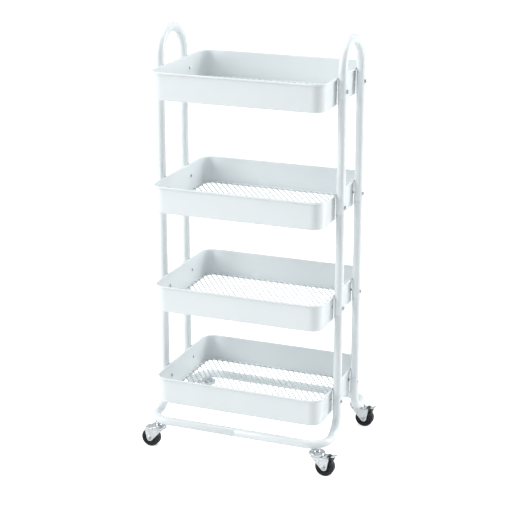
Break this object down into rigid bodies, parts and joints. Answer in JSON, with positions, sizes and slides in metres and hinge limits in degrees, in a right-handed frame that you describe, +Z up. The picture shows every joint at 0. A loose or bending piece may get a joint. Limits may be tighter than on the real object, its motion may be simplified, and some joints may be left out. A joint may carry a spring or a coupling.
{
  "type": "rolling utility cart",
  "caption": "Tall narrow rolling cart with open mesh-floored trays on a bent tube frame, arched end handles and swivel casters.",
  "frame": {"origin": "on the floor, under the centre of the cart's bounding box", "axes": "+X along the long side to the right-hand end, -Y to the front, +Z up"},
  "size_m": [0.4938, 0.3368, 0.9998],
  "materials": {
    "frame_paint": "semi-gloss white powder coat",
    "mesh_paint": "semi-gloss white powder coat",
    "zinc": "bright zinc plate",
    "bright_rivet": "plated steel",
    "hub_plastic": "black moulded plastic",
    "tyre": "black hard rubber"
  },
  "bodies": {
    "frame": {"handle_left": "frame_paint", "handle_right": "frame_paint", "post_mid_fl": "frame_paint", "post_mid_fr": "frame_paint", "post_mid_rl": "frame_paint", "post_mid_rr": "frame_paint", "post_low_fl": "frame_paint", "post_low_fr": "frame_paint", "post_low_rl": "frame_paint", "post_low_rr": "frame_paint", "base_tube_fl": "frame_paint", "base_tube_fr": "frame_paint", "base_tube_rl": "frame_paint", "base_tube_rr": "frame_paint", "tray_1": "frame_paint", "tray_2": "frame_paint", "tray_3": "frame_paint", "tray_4": "frame_paint", "mesh_1": "mesh_paint", "mesh_2": "mesh_paint", "mesh_3": "mesh_paint", "mesh_4": "mesh_paint", "tray_screws": "zinc", "cap_nuts": "zinc", "base_lock_screws": "zinc", "caster_inserts": "zinc", "caster_fl_stem": "zinc", "caster_fr_stem": "zinc", "caster_rl_stem": "zinc", "caster_rr_stem": "zinc", "caster_fl_cap": "zinc", "caster_fr_cap": "zinc", "caster_rl_cap": "zinc", "caster_rr_cap": "zinc"},
    "swivel_fl": {"caster_fl_fork": "zinc", "caster_fl_axle": "bright_rivet", "caster_fl_balls": "bright_rivet"},
    "wheel_fl": {"caster_fl_hub": "hub_plastic", "caster_fl_tyre": "tyre"},
    "swivel_fr": {"caster_fr_fork": "zinc", "caster_fr_axle": "bright_rivet", "caster_fr_balls": "bright_rivet", "brake_fr_pin": "bright_rivet"},
    "wheel_fr": {"caster_fr_hub": "hub_plastic", "caster_fr_tyre": "tyre"},
    "brake_fr": {"brake_fr_shoe": "hub_plastic", "brake_fr_lever": "zinc"},
    "swivel_rl": {"caster_rl_fork": "zinc", "caster_rl_axle": "bright_rivet", "caster_rl_balls": "bright_rivet"},
    "wheel_rl": {"caster_rl_hub": "hub_plastic", "caster_rl_tyre": "tyre"},
    "swivel_rr": {"caster_rr_fork": "zinc", "caster_rr_axle": "bright_rivet", "caster_rr_balls": "bright_rivet", "brake_rr_pin": "bright_rivet"},
    "wheel_rr": {"caster_rr_hub": "hub_plastic", "caster_rr_tyre": "tyre"},
    "brake_rr": {"brake_rr_shoe": "hub_plastic", "brake_rr_lever": "zinc"}
  },
  "joints": [
    {"name": "swivel_fl_turn", "type": "hinge", "parent": "frame", "child": "swivel_fl", "pos_m": [-0.20145, -0.14941, 0.0514], "axis": [0, 0, 1], "continuous": true},
    {"name": "wheel_fl_spin", "type": "hinge", "parent": "swivel_fl", "child": "wheel_fl", "pos_m": [-0.22145, -0.14941, 0.0225], "axis": [0, 1, 0], "continuous": true},
    {"name": "swivel_fr_turn", "type": "hinge", "parent": "frame", "child": "swivel_fr", "pos_m": [0.20145, -0.14941, 0.0514], "axis": [0, 0, 1], "continuous": true},
    {"name": "wheel_fr_spin", "type": "hinge", "parent": "swivel_fr", "child": "wheel_fr", "pos_m": [0.22145, -0.14941, 0.0225], "axis": [0, 1, 0], "continuous": true},
    {"name": "brake_fr_press", "type": "hinge", "parent": "swivel_fr", "child": "brake_fr", "pos_m": [0.22955, -0.14941, 0.0475], "axis": [0, 1, 0], "range_deg": [0, 12]},
    {"name": "swivel_rl_turn", "type": "hinge", "parent": "frame", "child": "swivel_rl", "pos_m": [-0.20145, 0.14941, 0.0514], "axis": [0, 0, 1], "continuous": true},
    {"name": "wheel_rl_spin", "type": "hinge", "parent": "swivel_rl", "child": "wheel_rl", "pos_m": [-0.22145, 0.14941, 0.0225], "axis": [0, 1, 0], "continuous": true},
    {"name": "swivel_rr_turn", "type": "hinge", "parent": "frame", "child": "swivel_rr", "pos_m": [0.20145, 0.14941, 0.0514], "axis": [0, 0, 1], "continuous": true},
    {"name": "wheel_rr_spin", "type": "hinge", "parent": "swivel_rr", "child": "wheel_rr", "pos_m": [0.22145, 0.14941, 0.0225], "axis": [0, 1, 0], "continuous": true},
    {"name": "brake_rr_press", "type": "hinge", "parent": "swivel_rr", "child": "brake_rr", "pos_m": [0.22955, 0.14941, 0.0475], "axis": [0, 1, 0], "range_deg": [0, 12]}
  ]
}
